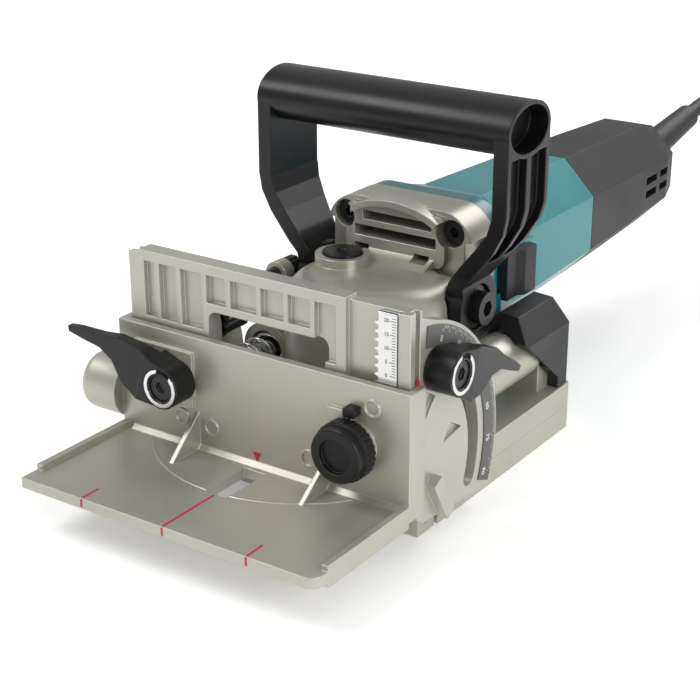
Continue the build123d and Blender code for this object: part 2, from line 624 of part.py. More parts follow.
# ---- angle guide --------------------------------------------------------
def sector(side):
    x0, x1 = sorted((side * ARM_IN, side * ARM_OUT))
    low = [(GUIDE_Y0, 18.4), (-59.0, 11.3), (-41.6, 9.7), polar(-24, SECTOR_R)]
    plate = prism_x([(GUIDE_Y0, 92.6), (-47.2, 84.3)] + list(reversed(low)), x0, x1)
    plate += arc_band(-24, 84, 0, SECTOR_R, x0, x1)
    plate = plate & box(x0, x1, GUIDE_Y0, 30, 5, 93)
    plate -= arc_slot(-20, 74, 3.8, x0 - 1, x1 + 1)
    # shallow triangles left between the ribs, on the outer face
    o0, o1 = sorted((side * (ARM_OUT - 1.4), side * (ARM_OUT + 1)))
    plate -= prism_x([(-59.0, 62.5), (-51.5, 58.0), (-59.0, 49.0)], o0, o1)
    plate -= prism_x([(-41.0, 44.0), (-33.0, 39.4), (-45.5, 37.4)], o0, o1)
    # stop block beside the tilt axis
    b0, b1 = sorted((side * (ARM_OUT - 0.5), side * (ARM_OUT + 4.0)))
    block = Pos(0, -50.0, 18.6) * Rot(-60, 0, 0) * Box(b1 - b0, 19, 5.4)
    plate += Pos((b0 + b1) / 2, 0, 0) * block
    return plate


def angle_guide():
    body = box(-ARM_OUT, 35.6, GUIDE_Y0, GUIDE_Y1, 19, GUIDE_TOP)
    body += box(35.6, ARM_OUT, -66.0, GUIDE_Y1, 19, 92.6)
    body += box(58.0, ARM_OUT, GUIDE_Y0, -66.0, 19, 92.6)
    # framed panels with upright ribs on the front
    edges = [-55.0, -47.8, -37.6, -25.6, -14.6, -1.0, 11.0, 22.4, 33.4]
    for a, b in zip(edges[:-1], edges[1:]):
        low = 79.0 if -26 < a < 22 else 68.0
        body -= box(a, b - 2.0, GUIDE_Y0 - 1, GUIDE_Y0 + 2.4, low, GUIDE_TOP - 4.0)
    # the arch below the panels
    body -= box(-21, 23, -80, -50, 10, 76) + box(-25, 27, -80, -50, 10, 72)
    for x in (-21, 23):
        body -= rod_y(-80, -50, x, 72, 4)
    # room for the fence clamp, the hinge lugs and the left edge
    body -= box(-64, -57.3, -80, -50, 17, 95)
    for side in (-1, 1):
        x0, x1 = sorted((side * 49.4, side * ARM_IN))
        body -= box(x0, x1, -80, -50, 10, 35.6)
        body += sector(side)
    body += box(-ARM_OUT, -50, GUIDE_Y0 + 2, GUIDE_Y1, 60, 92)
    # grooves in the side faces that the fence slides in
    for side in (-1, 1):
        x0, x1 = sorted((side * 59.8, side * 63))
        body -= box(x0, x1, -65.2, -62.2, 5, 100)
        x0, x1 = sorted((side * 55, side * 63))
        body -= rod_x(x0, x1, PIVOT_Y, PIVOT_Z, 2.28)
    return body


KNOB_TEETH = 12
RACK_PITCH = math.pi  # twelve teeth on a pitch circle of 6 mm radius


def height_scale():
    return box(51.4, 56.6, -68.98, -68.72, 68.5, 91.5)


def height_rack():
    bar = box(49.3, 56.8, -68.7, -66.05, 36.0, 92.0)
    first = KNOB_Z - 1.5 * RACK_PITCH
    for k in range(17):
        z = first + RACK_PITCH * k
        bar += prism_y([(49.4, z - 0.9), (47.9, z - 0.35), (47.9, z + 0.35), (49.4, z + 0.9)], -68.7, -66.05)
    return bar


def angle_scale():
    """Curved label plate of the angle scale on the right sector."""
    return arc_band(-22, 83, SECTOR_R - 9.3, SECTOR_R - 1.4, ARM_OUT + 0.02, ARM_OUT + 0.37)


# ---- fence --------------------------------------------------------------
def fence():
    body = box(FENCE_X0, FENCE_X1, FENCE_Y0, FENCE_Y1, TABLE_Z0, FENCE_TOP)
    table = box(FENCE_X0, FENCE_X1, TABLE_Y, FENCE_Y1, TABLE_Z0, TABLE_Z1)
    table = fillet(table.edges().filter_by(Axis.Z).group_by(Axis.Y)[0].sort_by(Axis.X)[-1], 5)
    body += table
    body += box(-FENCE_X1, -62.4, -120, FENCE_Y0, TABLE_Z0, 24.2)
    body += box(62.4, FENCE_X1, -121, FENCE_Y0, TABLE_Z0 - 2, 24)
    # fillet bar in the inner corner
    body += prism_x([(FENCE_Y0, TABLE_Z1), (-74.3, TABLE_Z1), (FENCE_Y0, 23.8)], -60, 62)
    # raised line that marks the reach of the blade, window
    line = rod_z(TABLE_Z1 - 0.1, TABLE_Z1 + 0.25, -2.4, -41, 57.4)
    line -= rod_z(TABLE_Z1 - 1, TABLE_Z1 + 1, -2.4, -41, 56.5)
    body += line & box(-60, 60, -100, -75.4, TABLE_Z1 - 1, TABLE_Z1 + 1)
    body -= box(-3.6, 6.0, -99, -76.5, 10, 30)
    # gussets
    for x, top in ((-28.0, 37), (30.6, 34)):
        body += prism_x([(FENCE_Y0, top), (FENCE_Y0, TABLE_Z1), (-89, TABLE_Z1)], x - 0.9, x + 0.9)
    # pads on the plate, boss of the height knob, small rings
    body += box(-57, -29, FENCE_Y0 - 1.4, FENCE_Y0, 37.4, 60)
    body += box(32, 39, FENCE_Y0 - 2.0, FENCE_Y0, 50, 55)
    body += rod_y(FENCE_Y0 - 3.2, FENCE_Y0, KNOB_X, KNOB_Z, 9)
    for x, z in ((-21.5, 31.8), (22.6, 31.4), (49.6, 57.6), (-35.5, 33.2)):
        ring = rod_y(FENCE_Y0 - 0.6, FENCE_Y0, x, z, 3.4) - rod_y(-80, FENCE_Y0, x, z, 2.6)
        body += ring
    # side walls with tongues that run in the guide
    for side in (-1, 1):
        x0, x1 = sorted((side * 62.4, side * 65.0))
        body += box(x0, x1, FENCE_Y1, -62.7, TABLE_Z0, FENCE_TOP)
        t0, t1 = sorted((side * 60.2, side * 62.5))
        body += box(t0, t1, -64.9, -62.7, TABLE_Z0 + 2, FENCE_TOP)
    # barrel at the left end
    barrel = rod_x(-83.5, -65, -66, 35.5, 11.6)
    barrel = fillet(barrel.edges().group_by(Axis.X)[0], 4)
    body += barrel
    # bores for the knob shaft and the clamp stud
    body -= rod_y(-80, -60, KNOB_X, KNOB_Z, 3.1)
    body -= rod_y(FENCE_Y1 - 1.2, FENCE_Y1 + 0.3, CLAMP_X, CLAMP_Z, 5.2)
    body -= rod_y(-80, -60, CLAMP_X, CLAMP_Z, 3.0)
    return body


def fence_stud():
    body = rod_y(-83.0, FENCE_Y1 - 0.3, CLAMP_X, CLAMP_Z, 2.98)
    body += rod_y(FENCE_Y1 - 1.1, FENCE_Y1 + 0.5, CLAMP_X, CLAMP_Z, 4.9)
    body += rod_y(-84.0, -82.2, CLAMP_X, CLAMP_Z, 4.8)
    return body - hex_socket_y(-85, -82.8, CLAMP_X, CLAMP_Z, 4.6)


def knob_clip():
    return fillet(box(40, 45, -76.6, FENCE_Y0 - 0.1, 53.8, 57.4).edges().filter_by(Axis.Y), 0.9)


LEVER_H = 10.6  # length of the lever hub


def lever_shape():
    """Clamp lever: hub along +Z from the seat, arm along +X."""
    hub = Cylinder(8.1, LEVER_H, align=LOW)
    upper = [(-2, 7.8), (13, 9), (25, 7.8), (33, 4.6), (44, 1.4), (49, -0.6)]
    lower = [(48, -2.6), (40, -1.8), (32, -0.6), (25, -2.4), (18.5, -8.4), (11, -10.6), (0, -8.0)]
    arm = extrude(Polygon(*upper, *lower, align=None), amount=LEVER_H, dir=(0, 0, 1))
    under = [(8.3, -1), (50, -1), (50, 5.2), (30, 4.6), (14, 3.6), (8.3, 3.0)]
    over = [(10, 11), (10, 9.8), (30, 8.8), (50, 7.8), (50, 11)]
    for outline in (under, over):
        arm -= extrude(Plane.XZ * Polygon(*outline, align=None), amount=30, both=True)
    body = hub + arm
    body -= Pos(0, 0, 8.0) * Cylinder(5.1, 5, align=LOW)
    ring = Cylinder(7.45, 3, align=LOW) - Cylinder(5.85, 3, align=LOW)
    body -= Pos(0, 0, LEVER_H - 1) * ring
    return body - Pos(0, 0, -1) * Cylinder(3.05, 20, align=LOW)


def lever_ring_shape():
    ring = Cylinder(7.35, 1.3, align=LOW) - Cylinder(5.95, 1.3, align=LOW)
    gap = Pos(0, 8, 0) * Box(6, 8, 4)
    return Pos(0, 0, LEVER_H - 0.95) * (ring - gap)


def to_fence(shape):
    # arm points left and up, hub grows towards -Y
    return Pos(CLAMP_X, FENCE_Y0 - 1.5, CLAMP_Z) * Rot(0, 17, 0) * Rot(90, 0, 0) * mirror(shape, Plane.YZ)


def to_guide(shape):
    # arm points back and down, hub grows towards +X
    return Pos(62.5, STUD_Y, STUD_Z) * Rot(-15.4, 0, 0) * Rot(0, 90, 0) * Rot(0, 0, 90) * shape


def height_knob():
    body = rod_y(-85.2, -77, KNOB_X, KNOB_Z, 10.3)
    body = fillet(body.edges().group_by(Axis.Y)[0], 1.2)
    ring = rod_y(-81.0, -76.2, KNOB_X, KNOB_Z, 11.2)
    for k in range(30):
        a = math.radians(12 * k)
        ring -= rod_y(-82, -76, KNOB_X + 11.4 * math.cos(a), KNOB_Z + 11.4 * math.sin(a), 0.55)
    body += ring
    body -= rod_y(-86, -83.4, KNOB_X, KNOB_Z, 6.5)
    return body - rod_y(-80, -70, KNOB_X, KNOB_Z, 2.96)


def knob_shaft():
    body = rod_y(-79.9, -66.7, KNOB_X, KNOB_Z, 2.94)
    teeth = rod_y(-68.9, -66.7, KNOB_X, KNOB_Z, 4.9)
    for k in range(KNOB_TEETH):
        tooth = prism_y([(4.6, -0.85), (6.5, -0.3), (6.5, 0.3), (4.6, 0.85)], -68.9, -66.7)
        teeth += Pos(KNOB_X, 0, KNOB_Z) * Rot(0, 360 / KNOB_TEETH * k, 0) * tooth
    return body + teeth


# ---- cord ---------------------------------------------------------------
GUARD_START = (0.0, 250.4, MOTOR_Z + 2)
GUARD_LEAN = 9.0  # degrees above level
GUARD_LEN = 56.0
COIL_X, COIL_Y = 62.0, 532.0
COIL_IN, COIL_OUT = 40.0, 48.0  # middle of the inner and outer turns of a layer
COIL_LAYERS = 4
PLUG_X, PLUG_Y, PLUG_Z = 107.0, 438.0, 10.6


def guard_boot():
    return Pos(*GUARD_START) * Rot(GUARD_LEAN - 90, 0, 0) * Cone(8.0, 6.2, GUARD_LEN, align=LOW)


def guard_end():
    a = math.radians(GUARD_LEAN)
    x, y, z = GUARD_START
    return (x, y + GUARD_LEN * math.cos(a), z + GUARD_LEN * math.sin(a))


CORD_ROUTE = [
    guard_end(),
    (0.0, 346.0, 82.2),
    (0.8, 391.0, 67.5),
    (2.5, 426.0, 29.5),
    (6.0, 460.0, 9.2),
    (11.0, 497.0, 4.2),
    (14.0, 532.0, 4.1),
]
TAIL_ROUTE = [(110.0, 532.0, 28.0), (109.6, 500.0, 25.5), (108.0, 468.0, 14.5), (PLUG_X, PLUG_Y, PLUG_Z)]


def turn_between(a, b, c):
    u = (Vector(*b) - Vector(*a)).normalized()
    v = (Vector(*c) - Vector(*b)).normalized()
    return math.acos(max(-1.0, min(1.0, u.dot(v))))


def cord_tube(route, name):
    runs = [(Vector(*b) - Vector(*a)).length for a, b in zip(route[:-1], route[1:])]
    radii = []
    for k in range(1, len(route) - 1):
        half = turn_between(route[k - 1], route[k], route[k + 1]) / 2
        radii.append(0.45 * min(runs[k - 1], runs[k]) / math.tan(half))
    path = FilletPolyline(*route, radius=radii)
    start = Plane(origin=path @ 0, z_dir=path % 0)
    tube = sweep(start * Circle(CORD_D / 2), path)
    section = math.pi * (CORD_D / 2) ** 2
    print(name, "radii", [round(r) for r in radii], "length", round(path.length, 1),
          "volume ratio", round(tube.volume / (section * path.length), 4))
    return tube


def cord_coil():
    top = CORD_D * COIL_LAYERS
    ring = rod_z(0.1, top, COIL_X, COIL_Y, COIL_OUT + CORD_D / 2)
    return ring - rod_z(-1, top + 1, COIL_X, COIL_Y, COIL_IN - CORD_D / 2)


def plug():
    body = box(PLUG_X - 13, PLUG_X + 13, PLUG_Y - 58, PLUG_Y - 22, PLUG_Z - 10, PLUG_Z + 10)
    body = fillet(body.edges().filter_by(Axis.Y), 7)
    body += Pos(PLUG_X, PLUG_Y - 22.5, PLUG_Z) * Rot(-90, 0, 0) * Cone(8, 5.4, 22.5, align=LOW)
    for side in (-1, 1):
        body += rod_y(PLUG_Y - 76, PLUG_Y - 57, PLUG_X + side * 9.5, PLUG_Z, 2.4)
    return body


# ---- write every node ---------------------------------------------------
SIDES = (-1, 1)
save("base_frame", base_frame())
save("guide_rods", *[guide_rod(s) for s in SIDES])
save("return_springs", *[coil_spring(s * ROD_X, ROD_Z, -44.6, 19.8, 5.9, 1.4, 9) for s in SIDES])
save("dust_nozzle", dust_nozzle())
save("nozzle_screw", nozzle_screw())
save("pivot_pins", *[pivot_pin(s) for s in SIDES])
save("cover_pins", *[cover_pin(s) for s in SIDES])
save("grip_tips", *[grip_tip(s) for s in SIDES])
save("guide_bolt", guide_bolt())
save("clamp_stud", clamp_stud())
save("blade_cover", blade_cover())
save("cover_screw", cover_screw())
save("stop_turret", stop_turret())
save("turret_screw", turret_screw())
save("gear_housing", gear_housing())
save("flange_screws", *[flange_screw(x, z) for x, z in flange_screw_places()])
save("bearing_cover", bearing_cover())
save("spindle_bearing", bearing_z(0, 0, 24.4, 33.6, 6.05, 12.95))
save("shaft_bearings", bearing_y(24.0, 30.0, 4.05, 12.9), bearing_y(128.0, 136.0, 4.05, 9.4))
save("shaft_lock", shaft_lock())
save("motor_housing", motor_housing())
save("rear_housing", rear_housing())
save("stator", stator())
save("brush_holders", *[brush_holder(s) for s in SIDES])
save("switch_unit", box(-9, 9, 176, 204, MOTOR_Z - 8, MOTOR_Z + 8))
save("cord_guard", cord_guard() + guard_boot())
save("handle", handle())
save("handle_bolts", *[handle_bolt(s) for s in SIDES])
save("handle_washers", *[handle_washer(s) for s in SIDES])
save("stop_screw", stop_screw())
save("slide_switch", slide_switch())
save("spindle", spindle())
save("bevel_gear", bevel_gear())
save("inner_flange", inner_flange())
save("blade", blade())
save("lock_nut", lock_nut())
save("armature_shaft", armature_shaft())
save("pinion", pinion())
save("armature_core", armature_core())
save("commutator", commutator())
save("fan", fan())
save("angle_guide", angle_guide())
save("height_scale", height_scale())
save("height_rack", height_rack())
save("angle_scale", angle_scale())
save("fence", fence())
save("fence_stud", fence_stud())
save("knob_clip", knob_clip())
save("fence_lever", to_fence(lever_shape()))
save("fence_lever_ring", to_fence(lever_ring_shape()))
save("angle_lever", to_guide(lever_shape()))
save("angle_lever_ring", to_guide(lever_ring_shape()))
save("height_knob", height_knob())
save("knob_shaft", knob_shaft())
save("power_cord", cord_tube(CORD_ROUTE, "power cord"))
save("cord_coil", cord_coil())
save("cord_tail", cord_tube(TAIL_ROUTE, "cord tail"))
save("plug", plug())
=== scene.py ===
import bpy
import bmesh
import json
import math
from mathutils import Matrix, Vector


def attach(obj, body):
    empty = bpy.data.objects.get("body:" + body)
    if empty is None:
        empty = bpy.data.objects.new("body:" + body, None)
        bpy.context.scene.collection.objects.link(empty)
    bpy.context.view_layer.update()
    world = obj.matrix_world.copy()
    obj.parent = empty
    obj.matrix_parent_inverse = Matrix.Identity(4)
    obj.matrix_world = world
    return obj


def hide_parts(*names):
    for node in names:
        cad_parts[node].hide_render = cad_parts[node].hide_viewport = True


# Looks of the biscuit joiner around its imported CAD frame. Metres, +Z up, -Y the plunge direction.
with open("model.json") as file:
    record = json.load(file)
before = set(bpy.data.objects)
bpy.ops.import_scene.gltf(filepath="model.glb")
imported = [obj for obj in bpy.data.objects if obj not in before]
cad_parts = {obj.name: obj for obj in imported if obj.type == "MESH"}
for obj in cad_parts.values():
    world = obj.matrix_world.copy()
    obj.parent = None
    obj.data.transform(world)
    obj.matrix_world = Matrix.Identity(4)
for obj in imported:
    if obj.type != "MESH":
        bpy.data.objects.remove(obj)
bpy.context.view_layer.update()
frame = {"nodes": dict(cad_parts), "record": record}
MM = 0.001
NODES = frame["nodes"]

PIVOT = Vector((0, -64.6, 30.2)) * MM  # tilt axis of the angle guide
CORD_D = 8 * MM


# ---- camera, floor and light -------------------------------------------------
def add_camera():
    cam = bpy.data.cameras.new("camera")
    cam.sensor_width = 36
    cam.lens = 82.286
    cam.clip_end = 20
    obj = bpy.data.objects.new("camera", cam)
    obj.location = (0.3240, -0.4878, 0.2821)
    obj.rotation_euler = (math.radians(90 - 22.1762), 0, math.radians(34.3265))
    bpy.context.collection.objects.link(obj)
    bpy.context.scene.camera = obj


def add_area(name, place, target, size, energy, colour=(1, 1, 1)):
    light = bpy.data.lights.new(name, "AREA")
    light.shape = "RECTANGLE"
    light.size, light.size_y = size
    light.energy = energy
    light.color = colour
    obj = bpy.data.objects.new(name, light)
    obj.location = place
    obj.rotation_euler = (Vector(target) - Vector(place)).to_track_quat("-Z", "Y").to_euler()
    bpy.context.collection.objects.link(obj)


def add_stage():
    mesh = bpy.data.meshes.new("floor")
    mesh.from_pydata([(-4, -3, 0), (4, -3, 0), (4, 8, 0), (-4, 8, 0)], [], [(0, 1, 2, 3)])
    floor = bpy.data.objects.new("floor", mesh)
    bpy.context.collection.objects.link(floor)
    mat, nodes, links, shader = new_material("floor_white")
    shader.inputs["Base Color"].default_value = (0.96, 0.96, 0.955, 1)
    shader.inputs["Roughness"].default_value = 0.7
    shader.inputs["Emission Color"].default_value = (1, 1, 1, 1)
    shader.inputs["Emission Strength"].default_value = 0.22
    mesh.materials.append(mat)
    world = bpy.data.worlds.new("studio")
    bpy.context.scene.world = world
    world.use_nodes = True
    back = world.node_tree.nodes["Background"]
    back.inputs["Color"].default_value = (1, 1, 1, 1)
    back.inputs["Strength"].default_value = 0.5
    add_area("key", (-0.7, -0.6, 1.3), (0, 0, 0.05), (0.7, 0.7), 10)
    add_area("fill", (1.3, -0.5, 0.7), (0, 0, 0.05), (0.6, 0.6), 9)
    add_area("rim", (0.3, 1.2, 1.0), (0, 0.1, 0.08), (1.2, 0.5), 8)
    bpy.context.scene.view_settings.view_transform = "Standard"


# ---- shader helpers ------------------------------------------------------------
def new_material(name):
    mat = bpy.data.materials.new(name)
    mat.use_nodes = True
    tree = mat.node_tree
    return mat, tree.nodes, tree.links, tree.nodes["Principled BSDF"]


def add_node(tree, kind, **values):
    node = tree.nodes.new(kind)
    for key, value in values.items():
        if key in node.inputs:
            node.inputs[key].default_value = value
        else:
            setattr(node, key, value)
    return node


def surface_group():
    """Fine tooth and soft mottling: their two scales in, a height and a mask out."""
    group = bpy.data.node_groups.new("surface_tooth", "ShaderNodeTree")
    face = group.interface
    face.new_socket("Vector", in_out="INPUT", socket_type="NodeSocketVector")
    face.new_socket("Grain", in_out="INPUT", socket_type="NodeSocketFloat")
    face.new_socket("Blotch", in_out="INPUT", socket_type="NodeSocketFloat")
    face.new_socket("Height", in_out="OUTPUT", socket_type="NodeSocketFloat")
    face.new_socket("Mask", in_out="OUTPUT", socket_type="NodeSocketFloat")
    gin = group.nodes.new("NodeGroupInput")
    gout = group.nodes.new("NodeGroupOutput")
    grain = add_node(group, "ShaderNodeTexNoise", Detail=3.0, Roughness=0.6)
    blotch = add_node(group, "ShaderNodeTexNoise", Detail=5.0, Roughness=0.55)
    spread = add_node(group, "ShaderNodeMapRange")
    spread.inputs["From Min"].default_value = 0.35
    spread.inputs["From Max"].default_value = 0.65
    for noise, scale in ((grain, "Grain"), (blotch, "Blotch")):
        group.links.new(gin.outputs["Vector"], noise.inputs["Vector"])
        group.links.new(gin.outputs[scale], noise.inputs["Scale"])
    group.links.new(blotch.outputs["Fac"], spread.inputs["Value"])
    group.links.new(grain.outputs["Fac"], gout.inputs["Height"])
    group.links.new(spread.outputs["Result"], gout.inputs["Mask"])
    return group


def edge_group():
    """Rounded edges: the bevelled normal and a mask that is 1 on sharp edges."""
    group = bpy.data.node_groups.new("soft_edges", "ShaderNodeTree")
    face = group.interface
    face.new_socket("Radius", in_out="INPUT", socket_type="NodeSocketFloat")
    face.new_socket("Normal", in_out="OUTPUT", socket_type="NodeSocketVector")
    face.new_socket("Edge", in_out="OUTPUT", socket_type="NodeSocketFloat")
    gin = group.nodes.new("NodeGroupInput")
    gout = group.nodes.new("NodeGroupOutput")
    bevel = add_node(group, "ShaderNodeBevel", samples=6)
    plain = group.nodes.new("ShaderNodeNewGeometry")
    dot = add_node(group, "ShaderNodeVectorMath", operation="DOT_PRODUCT")
    mask = add_node(group, "ShaderNodeMapRange")
    mask.inputs["From Min"].default_value = 0.99
    mask.inputs["From Max"].default_value = 0.82
    group.links.new(gin.outputs["Radius"], bevel.inputs["Radius"])
    group.links.new(bevel.outputs["Normal"], dot.inputs[0])
    group.links.new(plain.outputs["Normal"], dot.inputs[1])
    group.links.new(dot.outputs["Value"], mask.inputs["Value"])
    group.links.new(bevel.outputs["Normal"], gout.inputs["Normal"])
    group.links.new(mask.outputs["Result"], gout.inputs["Edge"])
    return group


TOOTH = surface_group()
EDGES = edge_group()


def finish_material(name, colour, rough, metallic=0.0, grain=900.0, blotch=18.0, bump=0.05, edge=0.0004,
                    vary=0.06, edge_tint=None, edge_tint_amount=0.0, coat=0.0, rough_vary=0.06, specular=0.5):
    """A solid finish with tooth, mottling, rounded edges and an optional lighter colour mixed in on every
    sharp edge.
    """
    mat, nodes, links, shader = new_material(name)
    tree = mat.node_tree
    coords = add_node(tree, "ShaderNodeTexCoord")
    tooth = add_node(tree, "ShaderNodeGroup", node_tree=TOOTH)
    tooth.inputs["Grain"].default_value = grain
    tooth.inputs["Blotch"].default_value = blotch
    links.new(coords.outputs["Object"], tooth.inputs["Vector"])
    edges = add_node(tree, "ShaderNodeGroup", node_tree=EDGES)
    edges.inputs["Radius"].default_value = edge

    shade = add_node(tree, "ShaderNodeMix", data_type="RGBA")
    shade.inputs["A"].default_value = tuple(c * (1 - vary) for c in colour) + (1,)
    shade.inputs["B"].default_value = tuple(min(1, c * (1 + vary)) for c in colour) + (1,)
    links.new(tooth.outputs["Mask"], shade.inputs["Factor"])
    base = shade.outputs["Result"]
    # Lighter edge colour: mixed in wherever the bevelled normal turns away from the face normal, on outer
    # edges and inside corners alike.
    if edge_tint:
        edge_weight = add_node(tree, "ShaderNodeMath", operation="MULTIPLY")
        edge_weight.inputs[1].default_value = edge_tint_amount
        links.new(edges.outputs["Edge"], edge_weight.inputs[0])
        edge_mix = add_node(tree, "ShaderNodeMix", data_type="RGBA")
        edge_mix.inputs["B"].default_value = edge_tint + (1,)
        links.new(edge_weight.outputs["Value"], edge_mix.inputs["Factor"])
        links.new(base, edge_mix.inputs["A"])
        base = edge_mix.outputs["Result"]
    links.new(base, shader.inputs["Base Color"])

    gloss = add_node(tree, "ShaderNodeMapRange")
    gloss.inputs["To Min"].default_value = rough - rough_vary
    gloss.inputs["To Max"].default_value = rough + rough_vary
    links.new(tooth.outputs["Mask"], gloss.inputs["Value"])
    links.new(gloss.outputs["Result"], shader.inputs["Roughness"])

    relief = add_node(tree, "ShaderNodeBump", Strength=bump, Distance=0.0004)
    links.new(tooth.outputs["Height"], relief.inputs["Height"])
    links.new(edges.outputs["Normal"], relief.inputs["Normal"])
    links.new(relief.outputs["Normal"], shader.inputs["Normal"])
    shader.inputs["Metallic"].default_value = metallic
    shader.inputs["Coat Weight"].default_value = coat
    shader.inputs["Coat Roughness"].default_value = 0.12
    shader.inputs["Specular IOR Level"].default_value = specular
    return mat


def make_materials():
    return {
        "cast_silver": finish_material(
            "cast_silver", (0.45, 0.435, 0.375), 0.36, metallic=0.55, grain=1400, bump=0.10,
            edge_tint=(0.74, 0.73, 0.68), edge_tint_amount=0.6, edge=0.0006),
        "panel_silver": finish_material(
            "panel_silver", (0.46, 0.45, 0.40), 0.36, metallic=0.55, grain=1400, bump=0.10,
            edge_tint=(0.74, 0.73, 0.69), edge_tint_amount=0.6, edge=0.0006),
        "teal_plastic": finish_material(
            "teal_plastic", (0.0, 0.185, 0.20), 0.30, grain=700, bump=0.03, coat=0.15,
            edge_tint=(0.03, 0.34, 0.36), edge_tint_amount=0.3, edge=0.0008),
        "charcoal_plastic": finish_material(
            "charcoal_plastic", (0.013, 0.013, 0.015), 0.46, grain=1600, bump=0.20, specular=0.38,
            edge_tint=(0.07, 0.07, 0.075), edge_tint_amount=0.35, edge=0.0008),
        "black_plastic": finish_material(
            "black_plastic", (0.005, 0.005, 0.006), 0.36, grain=1500, bump=0.10, specular=0.36,
            edge_tint=(0.035, 0.035, 0.038), edge_tint_amount=0.35, edge=0.0009),
        "black_steel": finish_material(
            "black_steel", (0.018, 0.018, 0.020), 0.33, metallic=0.4, grain=900, bump=0.05,
            edge_tint=(0.30, 0.30, 0.31), edge_tint_amount=0.5, edge=0.0003),
        "bright_steel": finish_material(
            "bright_steel", (0.70, 0.70, 0.70), 0.22, metallic=1.0, grain=600, bump=0.03, edge=0.0003),
        "blade_steel": finish_material(
            "blade_steel", (0.50, 0.50, 0.51), 0.30, metallic=1.0, grain=400, bump=0.04, edge=0.0002),
        "copper": finish_material(
            "copper", (0.65, 0.28, 0.12), 0.35, metallic=0.8, grain=800, bump=0.1, edge=0.0003),
        "core_steel": finish_material(
            "core_steel", (0.22, 0.22, 0.23), 0.45, metallic=0.9, grain=500, bump=0.1, edge=0.0003),
        "label_white": finish_material(
            "label_white", (0.82, 0.82, 0.81), 0.45, grain=500, bump=0.01, vary=0.01, edge=0.0001),
        "label_dark": finish_material(
            "label_dark", (0.085, 0.083, 0.076), 0.42, grain=500, bump=0.01, vary=0.03, edge=0.0001),
        "rubber_black": finish_material(
            "rubber_black", (0.010, 0.010, 0.011), 0.50, grain=1400, bump=0.12, edge=0.0006),
        "mark_red": finish_material(
            "mark_red", (0.52, 0.012, 0.03), 0.45, grain=500, bump=0.01, vary=0.08, edge=0.0001),
        "mark_white": finish_material(
            "mark_white", (0.85, 0.85, 0.84), 0.5, grain=500, bump=0.01, vary=0.02, edge=0.0001),
        "mark_black": finish_material(
            "mark_black", (0.02, 0.02, 0.02), 0.5, grain=500, bump=0.01, vary=0.02, edge=0.0001),
    }


def dress_frame(materials):
    for part in frame["record"]["subparts"]:
        mesh = NODES[part["node"]].data
        mesh.materials.clear()
        mesh.materials.append(materials[part["material_slot"]])


# ---- cord ------------------------------------------------------------------------
GUARD_LEN, GUARD_LEAN = 56, math.radians(9)
GUARD_END = Vector((0, 250.4 + GUARD_LEN * math.cos(GUARD_LEAN), 66.5 + GUARD_LEN * math.sin(GUARD_LEAN)))
COIL_X, COIL_Y = 62.0, 532.0
COIL_IN, COIL_OUT = 40.0, 48.0  # middle of the inner and outer turns of a layer
COIL_TURNS = 7.5
LOWEST_TURN, LAYER_RISE = 4.1, 8.0
STEP_START = 0.7  # part of a turn after which the cord moves on to its next place
TURN_POINTS = 16
FREE_RUN = [
    tuple(GUARD_END),
    (0.0, 346.0, 82.2),
    (0.8, 391.0, 67.5),
    (2.5, 426.0, 29.5),
    (6.0, 460.0, 9.2),
    (11.0, 497.0, 4.2),
]
TAIL_RUN = [(109.6, 500.0, 25.5), (108.0, 468.0, 14.5), (107.0, 438.0, 10.6)]


def smooth(t):
    t = max(0.0, min(1.0, t))
    return t * t * (3 - 2 * t)


def coil_points():
    """Two turns beside each other in every layer, inner and outer in turn."""
    points = []
    for k in range(int(COIL_TURNS * TURN_POINTS) + 1):
        turns = k / TURN_POINTS
        done = int(turns)
        blend = smooth((turns - done - STEP_START) / (1 - STEP_START))
        columns = [0 if n % 4 in (0, 3) else 1 for n in (done, done + 1)]
        layers = [done // 2, (done + 1) // 2]
        radius = COIL_OUT - (COIL_OUT - COIL_IN) * (columns[0] + (columns[1] - columns[0]) * blend)
        height = LOWEST_TURN + LAYER_RISE * (layers[0] + (layers[1] - layers[0]) * blend)
        angle = math.pi - 2 * math.pi * turns
        points.append((COIL_X + radius * math.cos(angle), COIL_Y + radius * math.sin(angle), height))
    return points


def make_cord(materials):
    curve = bpy.data.curves.new("power_cord", "CURVE")
    curve.dimensions = "3D"
    curve.bevel_depth = CORD_D / 2
    curve.bevel_resolution = 5
    curve.resolution_u = 6
    curve.use_fill_caps = True
    line = curve.splines.new("NURBS")
    points = FREE_RUN + coil_points() + TAIL_RUN
    line.points.add(len(points) - 1)
    for slot, place in zip(line.points, points):
        slot.co = (place[0] * MM, place[1] * MM, place[2] * MM, 1)
    line.order_u = 3
    line.use_endpoint_u = True
    cord = bpy.data.objects.new("mains_cord", curve)
    bpy.context.collection.objects.link(cord)
    curve.materials.append(materials["rubber_black"])
    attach(cord, "motor_unit")
    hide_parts("power_cord", "cord_coil", "cord_tail")


# ---- flat printed marks ----------------------------------------------------------
def to_piece(name, bm, material, body):
    bmesh.ops.recalc_face_normals(bm, faces=bm.faces)
    mesh = bpy.data.meshes.new(name)
    bm.to_mesh(mesh)
    bm.free()
    mesh.materials.append(material)
    piece = bpy.data.objects.new(name, mesh)
    bpy.context.collection.objects.link(piece)
    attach(piece, body)
    return piece


def add_plate(bm, corners, depth):
    """A thin prism: corner points in order, pushed out by the depth vector."""
    low = [bm.verts.new(Vector(c) * MM) for c in corners]
    high = [bm.verts.new((Vector(c) + Vector(depth)) * MM) for c in corners]
    bm.faces.new(low)
    bm.faces.new(list(reversed(high)))
    count = len(low)
    for k in range(count):
        n = (k + 1) % count
        bm.faces.new((low[n], low[k], high[k], high[n]))


